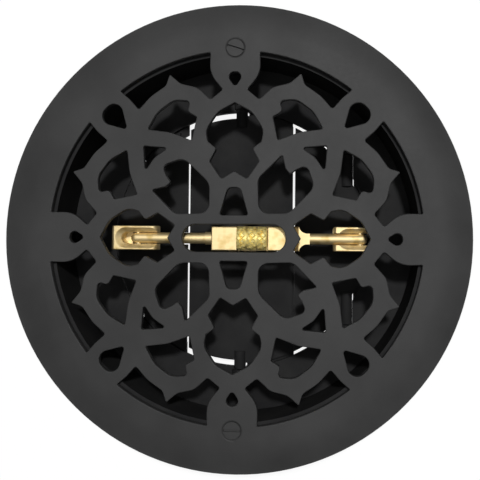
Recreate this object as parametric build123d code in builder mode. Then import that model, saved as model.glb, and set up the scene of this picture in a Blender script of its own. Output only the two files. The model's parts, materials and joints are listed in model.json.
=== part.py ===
from build123d import *
from math import cos, radians, sin, tan
import os

# Sizes in millimetres and degrees. Z = 0 is the finished floor, +Z is up, the link slides along X.

# Duct, can and face plate
ductDiameter = 203.2
ductGap = 0.6
canWall = 1.8
canDepth = 36.0
canSkirt = 6.0
windowLedge = 1.7
patternInset = 1.0
screwEdge = 1.5
flangeEdge = 8.1
flangeGap = 0.5
seatWidth = 16.0
faceTop = 8.0
barThick = 4.5
rimEdge = 4.2
crownWidth = 20.0
edgeBreak = 0.8

# Countersunk slotted screws that hold the can to the face plate
screwRadius = 2.4
screwHeadRadius = 5.4
screwHoleGap = 0.3
screwThreadGap = 0.03
screwTipGap = 0.4
driverSlotWidth = 1.2
driverSlotDepth = 1.2
driverSlotTurns = {90: -18, 270: 0}

# Damper ring, blades and their pivots
ringWidth = 25.2
ringThick = 3.0
sideReach = 12.5
bladeThick = 2.5
bladeGap = 1.3
bladeEndGap = 1.8
sinkingEndGap = 3.4
leftEndGap = 0.5
leftCornerWidth = 5.0
leftCornerHeight = 8.4
barrelRadius = 3.4
barrelOverlap = 7.0
barrelRelief = 0.4
barrelEndGap = 0.4
pinRadius = 2.0
pinSocketDepth = 8.0
pinSocketFit = 0.02
pinRunFit = 0.06
bossRadius = 4.6
bossLength = 10.0
bossSideGap = 1.8
ledgeReach = 5.0
ledgeSeat = 6.0
ledgeThick = 2.5
ledgeStart = 4.0
ledgeSideGap = 0.3
fingerWidth = 6.0
fingerEnd = 14.0
fingerSideGap = 0.15

# Crank geometry shared by the three blades and the link
linkDepth = 6.0
crankLean = 15.0
openAngle = 50.0

# Side cranks: a boat-shaped head on a stem
crankWidth = 13.4
rimWidth = 1.0
rodSideGap = 0.3
troughDepth = 1.7
troughRamp = 3.0
crankEdge = 0.6
footThick = 2.25
footLeft = 8.0
footRight = 9.5
stemLeft = 4.8
stemRight = 1.2
headLeft = 8.0
headRight = 18.0
headAbovePin = 3.2
headDepth = 8.0
headWall = 3.2
cheekDrop = 8.0
endBreak = 1.2
endWallThick = 2.2
rodPassGap = 1.0
stemFillet = 0.5
cheekFillet = 3.0
headFillet = 4.0
endFillet = 1.0

# Middle crank: a lever with an eye
leverThick = 4.6
leverEye = 3.2
leverRoot = 5.0
leverFootWidth = 14.2
leverFootLeft = 7.0
leverFootRight = 9.0

# Rivets of the crank feet
rivetRadius = 1.5
rivetHeadRadius = 2.4
rivetHeadHeight = 1.3
rivetFit = 0.02
sideRivetX = 4.2
sideRivetSpread = 7.2
leverRivetX = 1.0
leverRivetSpread = 9.6

# Link: yoke, rods and thumb grip
linkPinRadius = 1.5
linkPinPressFit = 0.01
linkPinRunFit = 0.08
rodRadius = 3.0
rodPastPin = 4.0
yokeGap = 1.5
yokeWidth = 13.3
blockLength = 14.4
tipLength = 17.0
flareLength = 6.0
flareRadius = 5.0
tipSlope = 3.0
yokeEdge = 0.6
leverSlotGap = 0.3
leverSlotLeft = 6.5
leverSlotRight = 7.5
leverSlotRoof = 1.2
collarRadius = 3.5
collarLength = 4.3
tenonRadius = 2.2
tenonLength = 8.0
tenonFit = 0.02
gripRadius = 6.3
gripLength = 16.0
gripBeforePin = 4.9
gripAboveYoke = 2.0
gripEndGap = 0.2
gripBandCount = 3
gripBandLength = 4.2
gripGrooveDepth = 0.5
gripSideGap = 1.1
saddleFit = 0.05
saddleLand = 2.5
notchGap = 0.5

# Radii and levels that follow from them
canOuter = ductDiameter / 2 - ductGap
canInner = canOuter - canWall
windowRadius = canInner + windowLedge
screwCircle = windowRadius + screwEdge
flangeRadius = screwCircle + flangeEdge
recessRadius = flangeRadius + flangeGap
plateRadius = recessRadius + seatWidth
barUnder = faceTop - barThick
openingRadius = canInner - ringWidth
bladeRadius = openingRadius - bladeEndGap
sinkingRadius = openingRadius - sinkingEndGap
leftEndRadius = openingRadius - leftEndGap
bladePitch = openingRadius - sideReach
bladeHalf = (bladePitch - bladeGap) / 2
pivotDepth = canDepth - canSkirt
pivotZ = -pivotDepth
ringTop = pivotZ + ringThick / 2
ringUnder = pivotZ - ringThick / 2
linkZ = -linkDepth
crankRise = linkZ - pivotZ
crankX = crankRise * tan(radians(crankLean))
crankRadius = crankRise / cos(radians(crankLean))
headFloor = crankRise - headDepth
yokeTop = barUnder - yokeGap
yokeUnder = linkZ - rodRadius
gripLeft = crankX - gripBeforePin
gripRight = gripLeft + gripLength
gripZ = yokeTop + gripAboveYoke
yokeLeft = gripLeft - blockLength
tipRight = gripRight + tipLength
flareRight = tipRight + flareLength
bladeTop = bladeThick / 2
footTop = bladeTop + footThick

# Pivot lines: the blade's chord ends where its own edge circle crosses the line
pivotLines = {"left": -bladePitch, "middle": 0.0, "right": bladePitch}
chordEnd = {side: (bladeRadius**2 - x**2) ** 0.5 for side, x in pivotLines.items()}
bossClear = {side: abs(x) - (bossRadius if x else 0) for side, x in pivotLines.items()}
bossStart = {side: (openingRadius**2 - x**2) ** 0.5 + bossSideGap for side, x in bossClear.items()}

# Link underside meets the rising half of a blade from this distance out
meetHeight = crankRadius * cos(radians(openAngle - crankLean)) - rodRadius - notchGap
notchStart = (meetHeight - bladeTop * cos(radians(openAngle))) / sin(radians(openAngle))

# Grille pattern, as corner points and corner radii in hundredths of the pattern radius
unit = (windowRadius - patternInset) / 100
windowPoints = [(13.2, 108, 0), (13.8, 88.5, 14), (6.6, 80, 1.2), (13.2, 74.6, 1.5), (20.5, 81.3, 9),
                (29.5, 83.2, 8), (35.6, 88.4, 0.6), (37.6, 82.2, 4), (46, 76.4, 20), (52.3, 69.2, 1.2),
                (57.3, 74.9, 12), (68, 84, 0), (68, 108, 0)]
petalPoints = [(23.2, 52.6, 0.8), (20.6, 65.2, 0.8), (25.7, 68.2, 2.2), (24.1, 73.8, 2), (33.2, 74.6, 9),
               (42.2, 67.8, 12), (47.4, 58.5, 0.8), (35, 57, 20)]
trianglePoints = [(35.8, 48.5, 0.8), (49.6, 49.6, 1), (48.5, 35.8, 0.8), (43.4, 43.4, 9)]
heartPoints = [(25.8, 44.8, 0.7), (12.8, 32, 6), (13.4, 13.4, 5.5), (29.5, 13.4, 8), (43, 27.5, 6),
               (39, 39.2, 3), (33.4, 36.8, 1.2), (29.9, 34.4, 1), (27.5, 37.4, 1)]
bulbHalf = [(0, 72.9, 0.8), (9.2, 68, 11), (15.8, 58, 8), (14.4, 51.9, 1), (9.7, 48.2, 1.6),
            (13.4, 41.3, 1), (6.9, 31.8, 1.2), (0, 36, 0.8)]
bulbPoints = bulbHalf + [(-x, y, r) for x, y, r in reversed(bulbHalf[1:-1])]
spokePoints = [(0, 81.1, 1.5), (5.5, 89.6, 2.8), (-5.5, 89.6, 2.8)]
cornerPoints = [(82.8, 0, 1.2), (99.4, 9.6, 5), (99.4, -9.6, 5)]
bellPoints = [(-7.7, 12.3, 1), (7.7, 12.3, 1), (3.4, 27.2, 3), (-3.4, 27.2, 3)]
slotLength = 56 * unit
slotWidth = 2 * (gripRadius + gripSideGap)


# One pierced shape from its corner points
def outline(points):
    with BuildSketch() as shape:
        with BuildLine():
            FilletPolyline(
                *[(x * unit, y * unit) for x, y, r in points],
                radius=[r * unit for x, y, r in points],
                close=True,
            )
        make_face()
    return shape.sketch


# The same corner points reflected in the diagonal
def acrossDiagonal(points):
    return [(y, x, r) for x, y, r in points]


# Upright plane through a pivot line: X across the blade, Y up
def sidePlane(pivotX):
    return Plane(origin=(pivotX, 0, pivotZ), x_dir=(1, 0, 0), z_dir=(0, -1, 0))


# Grille openings: one quarter of the pattern, turned four times, with bells and the link slot
quarterShapes = [outline(points) for points in (petalPoints, acrossDiagonal(petalPoints), trianglePoints,
                                                heartPoints, bulbPoints, spokePoints)]
windowShapes = [outline(points) for points in (windowPoints, acrossDiagonal(windowPoints))]
cornerShape = outline(cornerPoints)
bellShape = outline(bellPoints)

with BuildSketch() as quarter:
    for shape in windowShapes:
        add(shape)
    Circle(windowRadius, mode=Mode.INTERSECT)
    for shape in quarterShapes:
        add(shape)
    with Locations(Location((0, 0), 45)):
        add(cornerShape)

with BuildSketch() as grille:
    with PolarLocations(0, 4):
        add(quarter.sketch)
    with PolarLocations(0, 2):
        add(bellShape)
    SlotOverall(slotLength, slotWidth)

# Face plate: crowned rim, flat grille and a recess underneath for the can's flange
with BuildPart() as facePlate:
    with BuildSketch(Plane.XZ):
        with BuildLine():
            Polyline(
                (plateRadius, rimEdge - edgeBreak),
                (plateRadius, edgeBreak),
                (plateRadius - edgeBreak, 0),
                (recessRadius, 0),
                (recessRadius, barUnder),
                (0, barUnder),
                (0, faceTop),
                (plateRadius - crownWidth, faceTop),
            )
            TangentArc((plateRadius - crownWidth, faceTop), (plateRadius - edgeBreak, rimEdge),
                       tangent=(1, 0))
            Line((plateRadius - edgeBreak, rimEdge), (plateRadius, rimEdge - edgeBreak))
        make_face()
    revolve(axis=Axis.Z)
    with BuildSketch(Plane.XY.offset(barUnder)):
        add(grille.sketch)
    extrude(amount=barThick, mode=Mode.SUBTRACT)
    with Locations((0, screwCircle, faceTop), (0, -screwCircle, faceTop)):
        CounterSinkHole(screwRadius + screwHoleGap, screwHeadRadius, counter_sink_angle=90)
facePlate.part.label = "face_plate"

# Damper frame: flange, can wall, ring floor, pivot bosses and closing stops in one casting
with BuildPart() as damperFrame:
    with BuildSketch(Plane.XZ):
        with BuildLine():
            Polyline(
                (openingRadius, ringUnder),
                (canInner, ringUnder),
                (canInner, -canDepth),
                (canOuter, -canDepth),
                (canOuter, 0),
                (flangeRadius, 0),
                (flangeRadius, barUnder),
                (canInner, barUnder),
                (canInner, ringTop),
                (openingRadius, ringTop),
                close=True,
            )
        make_face()
    revolve(axis=Axis.Z)
    with BuildSketch(Plane.XY.offset(ringUnder)):
        for pivotX in pivotLines.values():
            ledgeLeft = pivotX + ledgeStart
            ledgeRight = pivotX + bladeHalf - ledgeSideGap
            with Locations(((ledgeLeft + ledgeRight) / 2, 0)):
                Rectangle(ledgeRight - ledgeLeft, 2 * canInner)
        Circle(openingRadius + ledgeSeat, mode=Mode.INTERSECT)
        Circle(openingRadius - ledgeReach, mode=Mode.SUBTRACT)
        fingerRight = bladePitch - bladeHalf - fingerSideGap
        fingerLength = openingRadius - fingerEnd
        with Locations((fingerRight - fingerWidth / 2, -fingerEnd - fingerLength / 2)):
            Rectangle(fingerWidth, fingerLength)
    extrude(amount=-ledgeThick)
    for side, pivotX in pivotLines.items():
        for way in (1, -1):
            with Locations((pivotX, way * (bossStart[side] + bossLength / 2), pivotZ)):
                Cylinder(bossRadius, bossLength, rotation=(90, 0, 0))
    for side, pivotX in pivotLines.items():
        for way in (1, -1):
            with Locations((pivotX, way * bossStart[side] / 2, pivotZ)):
                Cylinder(barrelRadius + barrelRelief, bossStart[side], rotation=(90, 0, 0),
                         mode=Mode.SUBTRACT)
            with Locations((pivotX, way * (bossStart[side] + bossLength / 2), pivotZ)):
                Cylinder(pinRadius + pinRunFit, bossLength, rotation=(90, 0, 0), mode=Mode.SUBTRACT)
    with Locations((0, screwCircle, barUnder / 2), (0, -screwCircle, barUnder / 2)):
        Cylinder(screwRadius + screwThreadGap, barUnder, mode=Mode.SUBTRACT)
damperFrame.part.label = "damper_frame"

# Two slotted countersunk screws, one at each end of the Y axis
screwSolids = []
for angle, slotTurn in driverSlotTurns.items():
    headPlace = Vector(0, screwCircle, 0).rotate(Axis.Z, angle - 90)
    with BuildPart() as screw:
        with BuildSketch(Plane.XZ):
            with BuildLine():
                Polyline(
                    (0, faceTop),
                    (screwHeadRadius, faceTop),
                    (screwRadius, faceTop - screwHeadRadius + screwRadius),
                    (screwRadius, screwTipGap),
                    (0, screwTipGap),
                    close=True,
                )
            make_face()
        revolve(axis=Axis.Z)
        with BuildSketch(Plane.XY.offset(faceTop)):
            Rectangle(3 * screwHeadRadius, driverSlotWidth, rotation=slotTurn)
        extrude(amount=-driverSlotDepth, mode=Mode.SUBTRACT)
    screwSolids.append(screw.part.moved(Location(headPlace)))
frameScrews = Compound(label="frame_screws", children=screwSolids)


# Louver blade: a strip of the round opening with a pivot barrel at each end of its chord
def makeBlade(side, leftEdge, rightEdge, sinkRadius, rivetX, rivetSpread, notchRoot, notchMouth):
    pivotX = pivotLines[side]
    barrelStart = chordEnd[side] - barrelOverlap
    barrelEnd = bossStart[side] - barrelEndGap
    with BuildPart() as blade:
        with BuildSketch(Plane.XY.offset(pivotZ - bladeTop)):
            Circle(bladeRadius)
            with Locations((pivotX, 0)):
                Rectangle(rightEdge - pivotX, 2 * openingRadius, align=(Align.MIN, Align.CENTER),
                          mode=Mode.INTERSECT)
        extrude(amount=bladeThick)
        with BuildSketch(Plane.XY.offset(pivotZ - bladeTop)):
            Circle(sinkRadius)
            with Locations((pivotX, 0)):
                Rectangle(pivotX - leftEdge, 2 * openingRadius, align=(Align.MAX, Align.CENTER),
                          mode=Mode.INTERSECT)
        extrude(amount=bladeThick)
        for way in (1, -1):
            with Locations((pivotX, way * (barrelStart + barrelEnd) / 2, pivotZ)):
                Cylinder(barrelRadius, barrelEnd - barrelStart, rotation=(90, 0, 0))
            with Locations((pivotX, way * (barrelEnd - pinSocketDepth / 2), pivotZ)):
                Cylinder(pinRadius + pinSocketFit, pinSocketDepth, rotation=(90, 0, 0), mode=Mode.SUBTRACT)
        with Locations((pivotX + rivetX, rivetSpread / 2, pivotZ),
                       (pivotX + rivetX, -rivetSpread / 2, pivotZ)):
            Cylinder(rivetRadius + rivetFit, bladeThick, mode=Mode.SUBTRACT)
        with BuildSketch(Plane.XY.offset(pivotZ - bladeTop)):
            with BuildLine():
                Polyline(
                    (pivotX + notchStart, notchRoot),
                    (pivotX + notchStart, -notchRoot),
                    (pivotX + bladePitch / 2, -notchMouth),
                    (pivotX + bladePitch / 2, notchMouth),
                    close=True,
                )
            make_face()
        extrude(amount=bladeThick, mode=Mode.SUBTRACT)
        if side == "left":
            cornerY = (bladeRadius**2 - rightEdge**2) ** 0.5
            with Locations((rightEdge, cornerY - leftCornerHeight, pivotZ)):
                Box(leftCornerWidth, bladeRadius, bladeThick, align=(Align.MAX, Align.MIN, Align.CENTER),
                    mode=Mode.SUBTRACT)
    return blade.part


rodNotch = rodRadius + notchGap
yokeNotch = yokeWidth / 2 + notchGap
leftBlade = makeBlade("left", -leftEndRadius, -bladePitch + bladeHalf, leftEndRadius,
                      sideRivetX, sideRivetSpread, rodNotch, rodNotch)
middleBlade = makeBlade("middle", -bladeHalf, bladeHalf, sinkingRadius,
                        leverRivetX, leverRivetSpread, yokeNotch, yokeNotch)
rightBlade = makeBlade("right", bladePitch - bladeHalf, bladeRadius, bladeRadius,
                       sideRivetX, sideRivetSpread, rodNotch, rodNotch)


# Pair of pivot pins: pressed into the blade's barrels, turning in the frame's bosses
def makePivotPins(side):
    pinStart = bossStart[side] - barrelEndGap - pinSocketDepth
    pinEnd = bossStart[side] + bossLength
    with BuildPart() as pins:
        for way in (1, -1):
            with Locations((pivotLines[side], way * (pinStart + pinEnd) / 2, pivotZ)):
                Cylinder(pinRadius, pinEnd - pinStart, rotation=(90, 0, 0))
    return pins.part


# Side crank: foot, stem and boat-shaped head, open to the right; one lets its rod in from the left
def makeSideCrank(side):
    pivotX = pivotLines[side]
    plane = sidePlane(pivotX)
    headTop = crankRise + headAbovePin
    channelHalf = rodRadius + rodSideGap
    troughHalf = crankWidth / 2 - rimWidth
    stemHeight = headFloor - cheekDrop - footTop
    cheekRound = min(cheekFillet, stemHeight - stemFillet)
    with BuildPart() as crank:
        with BuildSketch(plane):
            with BuildLine():
                FilletPolyline(
                    (-footLeft, bladeTop),
                    (footRight, bladeTop),
                    (footRight, footTop),
                    (stemRight, footTop),
                    (stemRight, headFloor - cheekDrop),
                    (headRight, headFloor + headWall),
                    (headRight, headTop),
                    (endBreak - headLeft, headTop),
                    (-headLeft, headTop - endBreak),
                    (-headLeft, headFloor),
                    (-stemLeft, headFloor - headWall),
                    (-stemLeft, footTop),
                    (-footLeft, footTop),
                    radius=[0, 0, 0, stemFillet, cheekRound, cheekFillet, headFillet]
                    + 5 * [endFillet] + [0],
                    close=True,
                )
            make_face()
        extrude(amount=crankWidth / 2, both=True)
        fillet(crank.faces().filter_by(Axis.Y).edges(), crankEdge)
        headLength = headLeft + headRight
        troughStart = pivotX - headLeft + endWallThick
        channelStart = troughStart + troughRamp
        with BuildSketch(Plane.XY.offset(pivotZ + headFloor)):
            with Locations((channelStart + headLength, 0)):
                SlotOverall(2 * headLength, 2 * channelHalf)
        extrude(amount=crankRise, mode=Mode.SUBTRACT)
        with BuildSketch(Plane.XY.offset(pivotZ + headTop)):
            with Locations((troughStart + headLength, 0)):
                SlotOverall(2 * headLength, 2 * troughHalf)
        with BuildSketch(Plane.XY.offset(pivotZ + headTop - troughDepth)):
            with Locations((channelStart + headLength, 0)):
                SlotOverall(2 * headLength, 2 * channelHalf)
        loft(mode=Mode.SUBTRACT)
        with Locations((pivotX + stemRight, 0, pivotZ + footTop)):
            Box(headLength, 2 * channelHalf, crankRise, align=(Align.MIN, Align.CENTER, Align.MIN),
                mode=Mode.SUBTRACT)
        if side == "right":
            with Locations((pivotX - 2 * headLeft, 0, linkZ - rodRadius - rodPassGap)):
                Box(headLength, 2 * channelHalf, crankRise, align=(Align.MIN, Align.CENTER, Align.MIN),
                    mode=Mode.SUBTRACT)
        with Locations((pivotX + crankX, 0, linkZ)):
            Cylinder(linkPinRadius + linkPinPressFit, crankWidth, rotation=(90, 0, 0), mode=Mode.SUBTRACT)
        with Locations((pivotX + sideRivetX, sideRivetSpread / 2, pivotZ + footTop),
                       (pivotX + sideRivetX, -sideRivetSpread / 2, pivotZ + footTop)):
            Cylinder(rivetRadius + rivetFit, 2 * footThick, mode=Mode.SUBTRACT)
    return crank.part


# Middle crank: lever with an eye that swings in the yoke's slot
with BuildPart() as middleCrank:
    with BuildSketch(sidePlane(0)):
        with Locations((crankX, crankRise)):
            Circle(leverEye)
        with Locations((0, footTop + leverRoot)):
            Circle(leverRoot)
        make_hull()
        with Locations((0, footTop)):
            Rectangle(2 * leverRoot, leverRoot, align=(Align.CENTER, Align.MIN))
        with Locations((crankX, crankRise)):
            Circle(linkPinRadius + linkPinPressFit, mode=Mode.SUBTRACT)
    extrude(amount=leverThick / 2, both=True)
    with Locations((-leverFootLeft, 0, pivotZ + bladeTop)):
        Box(leverFootLeft + leverFootRight, leverFootWidth, footThick,
            align=(Align.MIN, Align.CENTER, Align.MIN))
    with Locations((leverRivetX, leverRivetSpread / 2, pivotZ + footTop),
                   (leverRivetX, -leverRivetSpread / 2, pivotZ + footTop)):
        Cylinder(rivetRadius + rivetFit, 2 * footThick, mode=Mode.SUBTRACT)
middleCrank.part.label = "middle_crank"


# Two round-headed rivets through a crank's foot and its blade
def makeRivets(side, rivetX, rivetSpread):
    headDome = (rivetHeadRadius**2 + rivetHeadHeight**2) / (2 * rivetHeadHeight)
    with BuildPart() as rivet:
        with BuildSketch(Plane.XZ):
            with BuildLine():
                Polyline(
                    (rivetHeadRadius, footTop),
                    (rivetRadius, footTop),
                    (rivetRadius, -bladeTop),
                    (rivetHeadRadius, -bladeTop),
                )
                RadiusArc((rivetHeadRadius, -bladeTop), (0, -bladeTop - rivetHeadHeight), headDome)
                Line((0, -bladeTop - rivetHeadHeight), (0, footTop + rivetHeadHeight))
                RadiusArc((0, footTop + rivetHeadHeight), (rivetHeadRadius, footTop), headDome)
            make_face()
        revolve(axis=Axis.Z)
    places = [(pivotLines[side] + rivetX, way * rivetSpread / 2, pivotZ) for way in (1, -1)]
    return [rivet.part.moved(Location(place)) for place in places]


# Cross pin of one crank
def makeLinkPin(side, length):
    with BuildPart() as pin:
        with Locations((pivotLines[side] + crankX, 0, linkZ)):
            Cylinder(linkPinRadius, length, rotation=(90, 0, 0))
    return pin.part


# Yoke: flat block and tip with a saddle between them, a lever slot below, and the right-hand rod
with BuildPart() as linkYoke:
    with BuildSketch(Plane.XZ):
        with BuildLine():
            Polyline(
                (yokeLeft, yokeUnder),
                (tipRight, yokeUnder),
                (tipRight, linkZ + rodRadius),
                (tipRight - tipSlope, yokeTop),
                (yokeLeft, yokeTop),
                close=True,
            )
        make_face()
    extrude(amount=yokeWidth / 2, both=True)
    with BuildSketch(Plane.XY.offset(yokeUnder)):
        with BuildLine():
            RadiusArc((tipRight, yokeWidth / 2), (flareRight, rodRadius), -flareRadius)
            Line((flareRight, rodRadius), (flareRight, -rodRadius))
            RadiusArc((flareRight, -rodRadius), (tipRight, -yokeWidth / 2), -flareRadius)
            Line((tipRight, -yokeWidth / 2), (tipRight, yokeWidth / 2))
        make_face()
    extrude(amount=2 * rodRadius)
    rodEnd = bladePitch + crankX + rodPastPin - rodRadius
    with Locations(((flareRight - rodRadius + rodEnd) / 2, 0, linkZ)):
        Cylinder(rodRadius, rodEnd - flareRight + rodRadius, rotation=(0, 90, 0))
    with Locations((rodEnd, 0, linkZ)):
        Sphere(rodRadius)
    with Locations(((gripLeft + gripRight) / 2, 0, gripZ)):
        Cylinder(gripRadius + saddleFit, gripLength + 2 * gripEndGap, rotation=(0, 90, 0),
                 mode=Mode.SUBTRACT)
    with Locations((gripLeft - gripEndGap, 0, yokeTop - saddleLand)):
        Box(gripLength + 2 * gripEndGap, yokeWidth, gripRadius, align=(Align.MIN, Align.CENTER, Align.MIN),
            mode=Mode.SUBTRACT)
    with Locations((crankX - leverSlotLeft, 0, yokeUnder)):
        Box(leverSlotLeft + leverSlotRight, leverThick + 2 * leverSlotGap,
            rodRadius + leverEye + leverSlotRoof, align=(Align.MIN, Align.CENTER, Align.MIN),
            mode=Mode.SUBTRACT)
    with Locations((crankX, 0, linkZ), (bladePitch + crankX, 0, linkZ)):
        Cylinder(linkPinRadius + linkPinRunFit, yokeWidth, rotation=(90, 0, 0), mode=Mode.SUBTRACT)
    with Locations((yokeLeft + tenonLength / 2, 0, linkZ)):
        Cylinder(tenonRadius + tenonFit, tenonLength, rotation=(0, 90, 0), mode=Mode.SUBTRACT)
    fillet(linkYoke.edges().group_by(Axis.Z)[-1], yokeEdge)
linkYoke.part.label = "link_yoke"

# Left-hand rod: round end on the crank pin, collar and a tenon in the yoke's block
with BuildPart() as leftRod:
    leftRodEnd = crankX - bladePitch - rodPastPin
    with BuildSketch(Plane(origin=(0, 0, linkZ), x_dir=(1, 0, 0), z_dir=(0, -1, 0))):
        with BuildLine():
            Polyline(
                (leftRodEnd + rodRadius, rodRadius),
                (yokeLeft - collarLength, rodRadius),
                (yokeLeft - collarLength, collarRadius),
                (yokeLeft, collarRadius),
                (yokeLeft, tenonRadius),
                (yokeLeft + tenonLength, tenonRadius),
                (yokeLeft + tenonLength, 0),
                (leftRodEnd, 0),
            )
            RadiusArc((leftRodEnd, 0), (leftRodEnd + rodRadius, rodRadius), rodRadius)
        make_face()
    revolve(axis=Axis((0, 0, linkZ), (1, 0, 0)))
    with Locations((crankX - bladePitch, 0, linkZ)):
        Cylinder(linkPinRadius + linkPinRunFit, 2 * rodRadius, rotation=(90, 0, 0), mode=Mode.SUBTRACT)
leftRod.part.label = "left_rod"

# Thumb grip: barrel with raised bands, seated in the yoke's saddle
with BuildPart() as thumbGrip:
    with Locations(((gripLeft + gripRight) / 2, 0, gripZ)):
        Cylinder(gripRadius - gripGrooveDepth, gripLength, rotation=(0, 90, 0))
    bandPitch = (gripLength - gripBandLength) / (gripBandCount - 1)
    for band in range(gripBandCount):
        with Locations((gripLeft + gripBandLength / 2 + band * bandPitch, 0, gripZ)):
            Cylinder(gripRadius, gripBandLength, rotation=(0, 90, 0))
thumbGrip.part.label = "thumb_grip"

# One file for each piece
os.makedirs("parts", exist_ok=True)
pieces = {
    "face_plate": facePlate.part,
    "damper_frame": damperFrame.part,
    "frame_screws": frameScrews,
    "left_blade": leftBlade,
    "middle_blade": middleBlade,
    "right_blade": rightBlade,
    "left_crank": makeSideCrank("left"),
    "middle_crank": middleCrank.part,
    "right_crank": makeSideCrank("right"),
    "left_crank_rivets": Compound(children=makeRivets("left", sideRivetX, sideRivetSpread)),
    "middle_crank_rivets": Compound(children=makeRivets("middle", leverRivetX, leverRivetSpread)),
    "right_crank_rivets": Compound(children=makeRivets("right", sideRivetX, sideRivetSpread)),
    "left_link_pin": makeLinkPin("left", crankWidth),
    "middle_link_pin": makeLinkPin("middle", yokeWidth),
    "right_link_pin": makeLinkPin("right", crankWidth),
    "link_yoke": linkYoke.part,
    "left_rod": leftRod.part,
    "thumb_grip": thumbGrip.part,
}
for side in pivotLines:
    pieces[side + "_pivot_pins"] = makePivotPins(side)
for name, piece in pieces.items():
    piece.label = name
    export_step(piece, "parts/" + name + ".step")
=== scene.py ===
import bmesh
import bpy
import json
import math
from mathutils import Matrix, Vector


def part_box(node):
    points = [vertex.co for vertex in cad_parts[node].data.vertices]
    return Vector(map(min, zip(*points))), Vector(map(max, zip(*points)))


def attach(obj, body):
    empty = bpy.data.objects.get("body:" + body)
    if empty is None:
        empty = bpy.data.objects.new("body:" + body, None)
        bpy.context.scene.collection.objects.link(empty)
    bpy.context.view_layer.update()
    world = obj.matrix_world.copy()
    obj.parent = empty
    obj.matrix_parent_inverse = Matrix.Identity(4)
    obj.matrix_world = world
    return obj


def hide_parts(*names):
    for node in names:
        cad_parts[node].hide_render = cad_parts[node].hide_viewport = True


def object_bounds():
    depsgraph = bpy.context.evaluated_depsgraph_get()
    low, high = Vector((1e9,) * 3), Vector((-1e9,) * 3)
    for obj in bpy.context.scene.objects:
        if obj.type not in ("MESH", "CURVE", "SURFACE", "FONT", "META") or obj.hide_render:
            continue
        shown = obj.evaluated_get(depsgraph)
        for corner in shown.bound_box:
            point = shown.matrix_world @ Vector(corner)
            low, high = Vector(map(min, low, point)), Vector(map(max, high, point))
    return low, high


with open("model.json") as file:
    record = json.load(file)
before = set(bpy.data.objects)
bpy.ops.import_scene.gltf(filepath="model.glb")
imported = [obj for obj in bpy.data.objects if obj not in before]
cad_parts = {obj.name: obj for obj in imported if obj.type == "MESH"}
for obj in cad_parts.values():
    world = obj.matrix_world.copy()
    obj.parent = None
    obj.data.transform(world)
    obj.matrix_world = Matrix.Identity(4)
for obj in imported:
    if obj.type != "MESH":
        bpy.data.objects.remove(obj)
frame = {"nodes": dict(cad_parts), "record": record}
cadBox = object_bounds()
nodes = frame["nodes"]
scene = bpy.context.scene
print("frame loaded with", len(nodes), "nodes")

mm = 0.001  # one millimetre in Blender's metres


def linear(hexColour):
    values = [int(hexColour[i:i + 2], 16) / 255 for i in (1, 3, 5)]
    return tuple(v / 12.92 if v <= 0.04045 else ((v + 0.055) / 1.055) ** 2.4 for v in values) + (1.0,)


def grey(level):
    return (level, level, level, 1.0)


def addNode(tree, kind, inputs=(), **settings):
    node = tree.nodes.new(kind)
    for name, value in settings.items():
        setattr(node, name, value)
    for key, value in dict(inputs).items():
        if isinstance(value, bpy.types.NodeSocket):
            tree.links.new(value, node.inputs[key])
        else:
            node.inputs[key].default_value = value
    return node


def newMaterial(name):
    material = bpy.data.materials.new(name)
    material.use_nodes = True
    material.node_tree.nodes.clear()
    return material, material.node_tree


def closeMaterial(tree, shader):
    addNode(tree, "ShaderNodeOutputMaterial", {"Surface": shader.outputs[0]})


def ownPlace(tree):
    return addNode(tree, "ShaderNodeTexCoord").outputs["Object"]


# sizes of noise are in mm, its scale counts cells in a metre
def addNoise(tree, place, noise):
    return addNode(tree, "ShaderNodeTexNoise", {
        "Vector": place, "Scale": 1000 / noise["size"], "Detail": noise["detail"],
        "Roughness": noise["roughness"]}).outputs["Fac"]


def addRamp(tree, factor, *stops):
    ramp = addNode(tree, "ShaderNodeValToRGB", {"Fac": factor})
    for element, (position, colour) in zip(ramp.color_ramp.elements, stops):
        element.position = position
        element.color = linear(colour)
    return ramp.outputs["Color"]


def addSpread(tree, value, spread):
    low, high = spread
    return addNode(tree, "ShaderNodeMapRange", {"Value": value, "To Min": low, "To Max": high}).outputs["Result"]


def addBump(tree, height, relief, **under):
    return addNode(tree, "ShaderNodeBump", {
        "Height": height, "Strength": relief["strength"], "Distance": relief["height"] * mm,
        **under}).outputs["Normal"]


# black powder coat over sand-cast iron: soft satin grey, cloudy in patches, with a faint grain from the mould;
# the real grain is about 0.5 mm and is drawn coarser so that it shows
coat = {
    "dark": (0.32, "#363636"), "light": (0.68, "#404040"),
    "clouds": {"size": 38, "detail": 4.0, "roughness": 0.55},
    "grain": {"size": 1.7, "detail": 3.0, "roughness": 0.6},
    "relief": {"strength": 0.5, "height": 0.035}, "roughness": (0.5, 0.62), "specular": 0.22,
}
coatIron, tree = newMaterial("powderCoatedCastIron")
place = ownPlace(tree)
clouds = addNoise(tree, place, coat["clouds"])
grain = addNoise(tree, place, coat["grain"])
closeMaterial(tree, addNode(tree, "ShaderNodeBsdfPrincipled", {
    "Base Color": addRamp(tree, clouds, coat["dark"], coat["light"]),
    "Roughness": addSpread(tree, grain, coat["roughness"]),
    "Normal": addBump(tree, grain, coat["relief"]), "Specular IOR Level": coat["specular"]}))

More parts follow.
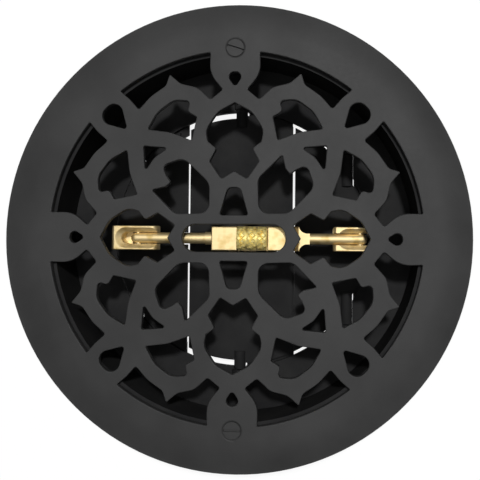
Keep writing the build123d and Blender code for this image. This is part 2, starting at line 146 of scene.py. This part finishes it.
# dull black dip on rough castings: flat, dark and patchy, with a coarser sand skin
dip = {
    "dark": (0.3, "#222223"), "light": (0.7, "#303030"),
    "patches": {"size": 22, "detail": 5.0, "roughness": 0.6},
    "sand": {"size": 2.2, "detail": 4.0, "roughness": 0.65},
    "relief": {"strength": 0.6, "height": 0.09}, "roughness": 0.72, "specular": 0.12,
}
dipIron, tree = newMaterial("blackDippedCastIron")
place = ownPlace(tree)
patches = addNoise(tree, place, dip["patches"])
sand = addNoise(tree, place, dip["sand"])
closeMaterial(tree, addNode(tree, "ShaderNodeBsdfPrincipled", {
    "Base Color": addRamp(tree, patches, dip["dark"], dip["light"]), "Roughness": dip["roughness"],
    "Normal": addBump(tree, sand, dip["relief"]), "Specular IOR Level": dip["specular"]}))

# cast brass: pale gold with a soft ripple and faint lines along the link
brassLines = {
    "noise": {"size": 0.5, "detail": 2.0, "roughness": 0.5}, "stretch": (0.06, 1.0, 1.0),
    "relief": {"strength": 0.3, "height": 0.004},
}


def castBrass(name, finish):
    material, tree = newMaterial(name)
    place = ownPlace(tree)
    ripple = addNoise(tree, place, finish["ripple"])
    drawn = addNode(tree, "ShaderNodeMapping", {"Vector": place, "Scale": brassLines["stretch"]})
    lines = addNoise(tree, drawn.outputs[0], brassLines["noise"])
    soft = addBump(tree, ripple, finish["relief"])
    closeMaterial(tree, addNode(tree, "ShaderNodeBsdfPrincipled", {
        "Base Color": addRamp(tree, ripple, finish["deep"], finish["pale"]),
        "Roughness": addSpread(tree, lines, finish["roughness"]),
        "Normal": addBump(tree, lines, brassLines["relief"], Normal=soft), "Metallic": 1.0}))
    return material


# satin on the cranks, rods and yoke, left as cut on the knurled grip; the grip's gold is also painted paler and
# brighter than the rest, a painted highlight for how brightly the grip is lit
brass = castBrass("buffedCastBrass", {
    "deep": (0.2, "#ceb068"), "pale": (0.5, "#f1dcaa"),
    "ripple": {"size": 5.5, "detail": 2.0, "roughness": 0.5},
    "relief": {"strength": 0.4, "height": 0.05}, "roughness": (0.54, 0.64)})
# the knurled grip's paler gold is partly its cut finish and partly painted highlight standing in for the light on it
paintedPalerCutBrass = castBrass("knurledBrass", {
    "deep": (0.2, "#f2d272"), "pale": (0.5, "#fff0a8"),
    "ripple": {"size": 2.5, "detail": 2.0, "roughness": 0.5},
    "relief": {"strength": 0.4, "height": 0.03}, "roughness": (0.6, 0.7)})

# oil-blackened mild steel: dark grey metal, slightly uneven where it was dipped
oiled = {
    "dark": (0.0, "#3b3b3d"), "light": (1.0, "#5a5a5c"),
    "patches": {"size": 3, "detail": 3.0, "roughness": 0.5}, "roughness": 0.45,
}
pinSteel, tree = newMaterial("oilBlackenedSteel")
patches = addNoise(tree, ownPlace(tree), oiled["patches"])
closeMaterial(tree, addNode(tree, "ShaderNodeBsdfPrincipled", {
    "Base Color": addRamp(tree, patches, oiled["dark"], oiled["light"]), "Roughness": oiled["roughness"],
    "Metallic": 1.0}))
print("materials ready")

finishes = {"plate_iron": coatIron, "damper_iron": dipIron, "brass": brass, "pin_steel": pinSteel}
for entry in frame["record"]["subparts"]:
    mesh = nodes[entry["node"]].data
    mesh.materials.clear()
    mesh.materials.append(finishes[entry["material_slot"]])


def bodyOf(nodeName):
    return next(body for body, names in frame["record"]["behaviour"]["bodies"].items() if nodeName in names)


def settle(piece, nodeName):
    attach(piece, bodyOf(nodeName))
    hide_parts(nodeName)


# give the object the mesh that its modifiers make
def applyModifiers(piece):
    finished = bpy.data.meshes.new_from_object(piece.evaluated_get(bpy.context.evaluated_depsgraph_get()))
    piece.modifiers.clear()
    piece.data = finished


# plate and screws with eased edges: a merged copy of the solid, flats joined up, then a small round on each
# sharp edge; sizes in mm, angles in degrees
eased = {
    "face_plate": {"name": "pierced_face_plate", "slot": "plate_iron", "round": 0.55},
    "frame_screws": {"name": "slotted_screws", "slot": "plate_iron", "round": 0.18, "headGap": 0.65},
}
easing = {"weld": 0.002, "flatWithin": 0.6, "sharpFrom": 35, "steps": 2, "flatWeight": 100}
headEdge = {"depth": 0.1, "fromShare": 0.9}


# the gap between a screw head and its countersink, taken off the head's upper edge
def narrowHeads(shell, high, gap):
    headRadius = high[0]
    edgeLow = high[2] - headEdge["depth"] * mm
    for vert in shell.verts:
        centreY = math.copysign(high[1] - headRadius, vert.co.y)
        reach = math.hypot(vert.co.x, vert.co.y - centreY)
        if vert.co.z > edgeLow and reach > headEdge["fromShare"] * headRadius:
            share = 1 - gap / reach
            vert.co.x *= share
            vert.co.y = centreY + (vert.co.y - centreY) * share


def easedCopy(nodeName, part):
    mesh = nodes[nodeName].data.copy()
    shell = bmesh.new()
    shell.from_mesh(mesh)
    bmesh.ops.remove_doubles(shell, verts=shell.verts, dist=easing["weld"] * mm)
    bmesh.ops.dissolve_limit(shell, angle_limit=math.radians(easing["flatWithin"]), verts=shell.verts,
                             edges=shell.edges)
    if "headGap" in part:
        narrowHeads(shell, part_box(nodeName)[1], part["headGap"] * mm)
    shell.to_mesh(mesh)
    shell.free()
    mesh.shade_smooth()
    piece = bpy.data.objects.new(part["name"], mesh)
    scene.collection.objects.link(piece)
    edge = piece.modifiers.new("easedEdges", "BEVEL")
    edge.width = part["round"] * mm
    edge.segments = easing["steps"]
    edge.limit_method = "ANGLE"
    edge.angle_limit = math.radians(easing["sharpFrom"])
    edge.use_clamp_overlap = False
    edge.miter_outer = "MITER_ARC"
    flats = piece.modifiers.new("flatFaces", "WEIGHTED_NORMAL")
    flats.mode = "FACE_AREA"
    flats.weight = easing["flatWeight"]
    applyModifiers(piece)
    return piece


for nodeName, part in eased.items():
    piece = easedCopy(nodeName, part)
    settle(piece, nodeName)
    print("eased", part["name"], len(piece.data.polygons), "faces")

# thumb grip: three knurled beads turned on one barrel; sizes in mm, tooth widths as shares of their pitch
grip = {
    "beads": 3, "beadLength": 4.7, "pitchShare": 0.98, "rowsPerBead": 2, "rowMargin": 0.6, "teethAround": 12,
    "toothHeight": 0.7, "toothAcross": 0.52, "toothAlong": 0.95, "toothTop": 0.6, "toothSides": 4,
    "grooveDepth": 1.5, "crown": 0.35, "hollow": 0.05, "barrelSteps": 72, "weld": 0.005, "sharpFrom": 40,
}
# places along a bead, each with its share of the crown's fall
beadProfile = ((0.0, 1.0), (0.1, 0.35), (0.3, 0.08), (0.5, 0.0), (0.7, 0.08), (0.9, 0.35), (1.0, 1.0))
gripLow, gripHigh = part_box("thumb_grip")
gripRadius = (gripHigh[2] - gripLow[2]) / 2
gripAxis = (gripHigh[2] + gripLow[2]) / 2
gripLength = gripHigh[0] - gripLow[0]
beadLength = grip["beadLength"] * mm
beadPitch = (gripLength - beadLength) / (grip["beads"] - 1) * grip["pitchShare"]
beadStart = gripLow[0] + (gripLength - beadPitch * (grip["beads"] - 1) - beadLength) / 2
rowStep = beadLength / (grip["rowsPerBead"] + grip["rowMargin"])


def turnedBarrel(name):
    root = gripRadius - grip["toothHeight"] * mm
    groove = gripRadius - grip["grooveDepth"] * mm
    profile = [(gripLow[0], 0.0), (gripLow[0], groove)]
    for bead in range(grip["beads"]):
        start = beadStart + bead * beadPitch
        profile += [(start + share * beadLength, root - fall * grip["crown"] * mm) for share, fall in beadProfile]
    profile += [(gripHigh[0], groove), (gripHigh[0], 0.0)]
    shell = bmesh.new()
    line = [shell.verts.new((x, 0.0, r)) for x, r in profile]
    edges = [shell.edges.new(pair) for pair in zip(line, line[1:])]
    bmesh.ops.spin(shell, geom=line + edges, cent=(0, 0, 0), axis=(1, 0, 0), angle=math.tau,
                   steps=grip["barrelSteps"])
    bmesh.ops.remove_doubles(shell, verts=shell.verts, dist=grip["weld"] * mm)
    bmesh.ops.recalc_face_normals(shell, faces=shell.faces)
    bmesh.ops.translate(shell, vec=(0, 0, gripAxis), verts=shell.verts)
    mesh = bpy.data.meshes.new(name)
    shell.to_mesh(mesh)
    shell.free()
    mesh.shade_smooth()
    mesh.set_sharp_from_angle(angle=math.radians(grip["sharpFrom"]))
    barrel = bpy.data.objects.new(name, mesh)
    scene.collection.objects.link(barrel)
    return barrel


# knurl: blunt pyramids in rows round the barrel, each row half a tooth on from the last
knurl = bpy.data.node_groups.new("knurlTeeth", "GeometryNodeTree")
knurl.interface.new_socket("Geometry", in_out="OUTPUT", socket_type="NodeSocketGeometry")
knurl.interface.new_socket("Geometry", in_out="INPUT", socket_type="NodeSocketGeometry")
for label, kind in (("Teeth Around", "Int"), ("Rows Per Bead", "Int"), ("Beads", "Int"), ("First Row", "Float"),
                    ("Row Step", "Float"), ("Bead Pitch", "Float"), ("Root Radius", "Float"),
                    ("Axis Height", "Float"), ("Tooth Height", "Float"), ("Finish", "Material")):
    knurl.interface.new_socket(label, in_out="INPUT", socket_type="NodeSocket" + kind)
given = addNode(knurl, "NodeGroupInput").outputs


def work(operation, *values):
    return addNode(knurl, "ShaderNodeMath", dict(enumerate(values)), operation=operation).outputs[0]


def vector(x=0.0, y=0.0, z=0.0):
    return addNode(knurl, "ShaderNodeCombineXYZ", {"X": x, "Y": y, "Z": z}).outputs[0]


# number of the tooth, its row and its bead
rows = work("MULTIPLY", given["Rows Per Bead"], given["Beads"])
count = work("MULTIPLY", rows, given["Teeth Around"])
dots = addNode(knurl, "GeometryNodeMeshLine", {"Count": count})
index = addNode(knurl, "GeometryNodeInputIndex").outputs[0]
tooth = work("MODULO", index, given["Teeth Around"])
row = work("FLOOR", work("DIVIDE", index, given["Teeth Around"]))
rowInBead = work("MODULO", row, given["Rows Per Bead"])
bead = work("FLOOR", work("DIVIDE", row, given["Rows Per Bead"]))

# where it stands
alongRow = work("MULTIPLY_ADD", rowInBead, given["Row Step"], given["First Row"])
along = work("MULTIPLY_ADD", bead, given["Bead Pitch"], alongRow)
stagger = work("MULTIPLY_ADD", row, 0.5, tooth)
toothAngle = work("DIVIDE", math.tau, given["Teeth Around"])
angle = work("MULTIPLY", stagger, toothAngle)
across = work("MULTIPLY", work("SINE", angle), given["Root Radius"])
height = work("MULTIPLY_ADD", work("COSINE", angle), given["Root Radius"], given["Axis Height"])
placed = addNode(knurl, "GeometryNodeSetPosition", {
    "Geometry": dots.outputs[0], "Position": vector(along, across, height)})
turn = addNode(knurl, "FunctionNodeEulerToRotation", {0: vector(work("MULTIPLY", angle, -1.0))})

# its size
toothPitch = work("MULTIPLY", given["Root Radius"], toothAngle)
toothSize = vector(work("MULTIPLY", given["Row Step"], grip["toothAlong"]),
                   work("MULTIPLY", toothPitch, grip["toothAcross"]), given["Tooth Height"])
pyramid = addNode(knurl, "GeometryNodeMeshCone", {
    "Vertices": grip["toothSides"], "Radius Top": grip["toothTop"], "Radius Bottom": 1.0, "Depth": 1.0})
teeth = addNode(knurl, "GeometryNodeInstanceOnPoints", {
    "Points": placed.outputs[0], "Instance": pyramid.outputs[0], "Rotation": turn.outputs[0], "Scale": toothSize})
joined = addNode(knurl, "GeometryNodeJoinGeometry")
knurl.links.new(given["Geometry"], joined.inputs[0])
knurl.links.new(teeth.outputs[0], joined.inputs[0])
real = addNode(knurl, "GeometryNodeRealizeInstances", {0: joined.outputs[0]})
dressed = addNode(knurl, "GeometryNodeSetMaterial", {"Geometry": real.outputs[0], "Material": given["Finish"]})
addNode(knurl, "NodeGroupOutput", {0: dressed.outputs[0]})

thumbGrip = turnedBarrel("knurled_thumb_grip")
sunkHeight = (grip["toothHeight"] + grip["hollow"]) * mm
gripSizes = {
    "Teeth Around": grip["teethAround"], "Rows Per Bead": grip["rowsPerBead"], "Beads": grip["beads"],
    "First Row": beadStart + (beadLength - rowStep * (grip["rowsPerBead"] - 1)) / 2,
    "Row Step": rowStep, "Bead Pitch": beadPitch, "Axis Height": gripAxis,
    "Root Radius": gripRadius - sunkHeight, "Tooth Height": sunkHeight, "Finish": paintedPalerCutBrass,
}
cutter = thumbGrip.modifiers.new("knurl", "NODES")
cutter.node_group = knurl
for socket in knurl.interface.items_tree:
    if socket.in_out == "INPUT" and socket.name in gripSizes:
        cutter[socket.identifier] = gripSizes[socket.name]
applyModifiers(thumbGrip)
settle(thumbGrip, "thumb_grip")
print("knurled", thumbGrip.name, len(thumbGrip.data.polygons), "faces")

# white floor just under the can: camera and mirror rays see it white with a light shadow, others as plain paper
ground = {"size": 3.0, "gap": 0.05 * mm, "white": 0.9, "shade": 0.14, "bounce": 0.8}
floorMesh = bpy.data.meshes.new("paperFloor")
half = ground["size"] / 2
level = cadBox[0][2] - ground["gap"]
floorMesh.from_pydata([(-half, -half, level), (half, -half, level), (half, half, level), (-half, half, level)],
                      [], [(0, 1, 2, 3)])
floor = bpy.data.objects.new("paperFloor", floorMesh)
scene.collection.objects.link(floor)
paper, tree = newMaterial("whiteSeamlessPaper")
seen = addNode(tree, "ShaderNodeLightPath").outputs
mirror = addNode(tree, "ShaderNodeMath", {0: seen["Is Camera Ray"], 1: seen["Is Glossy Ray"]},
                 operation="MAXIMUM")
through = addNode(tree, "ShaderNodeMath", {0: mirror.outputs[0], 1: seen["Is Transmission Ray"]},
                  operation="MAXIMUM")
glow = addNode(tree, "ShaderNodeEmission", {"Color": grey(1), "Strength": ground["white"]})
shade = addNode(tree, "ShaderNodeBsdfDiffuse", {"Color": grey(ground["shade"])})
both = addNode(tree, "ShaderNodeAddShader", {0: glow.outputs[0], 1: shade.outputs[0]})
plain = addNode(tree, "ShaderNodeBsdfDiffuse", {"Color": grey(ground["bounce"])})
closeMaterial(tree, addNode(tree, "ShaderNodeMixShader", {
    0: through.outputs[0], 1: plain.outputs[0], 2: both.outputs[0]}))
floorMesh.materials.append(paper)

# room: white walls all round, a dim ceiling and a soft light panel straight above, the same for every ray;
# the edges are heights of the direction looked in, from 0 level to 1 straight up
room = {
    "walls": 1.0, "ceiling": 0.03, "panel": 1.15,
    "wallTop": 0.02, "ceilingEdge": 0.3, "panelEdge": 0.88, "panelInside": 0.92,
}
world = bpy.data.worlds.new("studioRoom")
scene.world = world
world.use_nodes = True
tree = world.node_tree
tree.nodes.clear()
look = addNode(tree, "ShaderNodeTexCoord")
axes = addNode(tree, "ShaderNodeSeparateXYZ", {0: look.outputs["Generated"]})


# what is below, fading into white light of its own strength between two heights
def fadeTo(below, light, start, end):
    rise = addNode(tree, "ShaderNodeMapRange", {
        "Value": axes.outputs["Z"], "From Min": room[start], "From Max": room[end]})
    above = addNode(tree, "ShaderNodeBackground", {"Color": grey(1), "Strength": room[light]})
    return addNode(tree, "ShaderNodeMixShader", {0: rise.outputs["Result"], 1: below.outputs[0], 2: above.outputs[0]})


walls = addNode(tree, "ShaderNodeBackground", {"Color": grey(1), "Strength": room["walls"]})
dome = fadeTo(walls, "ceiling", "wallTop", "ceilingEdge")
lit = fadeTo(dome, "panel", "panelEdge", "panelInside")
addNode(tree, "ShaderNodeOutputWorld", {"Surface": lit.outputs[0]})

# one lamp high over the top edge of the plate throws the crisp shadows into the can
lamp = {"place": (0.22, 0.62, 2.1), "size": 0.18, "power": 26.0}
lampData = bpy.data.lights.new("topLamp", "AREA")
lampData.shape = "DISK"
lampData.size = lamp["size"]
lampData.energy = lamp["power"]
topLamp = bpy.data.objects.new("topLamp", lampData)
topLamp.location = lamp["place"]
topLamp.rotation_euler = topLamp.location.to_track_quat("Z", "Y").to_euler()
scene.collection.objects.link(topLamp)
print("floor, room and lamp ready")

# camera almost straight above, a little to the right; the shift holds the plate in the middle of the picture
shot = {
    "place": (0.04638, -0.00374, 0.39642), "turn": (0.0214, 0.0696, 0.0085),
    "focal": 54.86, "sensor": 36, "shift": (-0.0613, -0.0202), "near": 0.01,
}
cameraData = bpy.data.cameras.new("shotCamera")
cameraData.sensor_width = shot["sensor"]
cameraData.sensor_fit = "HORIZONTAL"
cameraData.lens = shot["focal"]
cameraData.shift_x, cameraData.shift_y = shot["shift"]
cameraData.clip_start = shot["near"]
camera = bpy.data.objects.new("shotCamera", cameraData)
camera.location = shot["place"]
camera.rotation_euler = shot["turn"]
scene.collection.objects.link(camera)
scene.camera = camera
scene.view_settings.view_transform = "Standard"
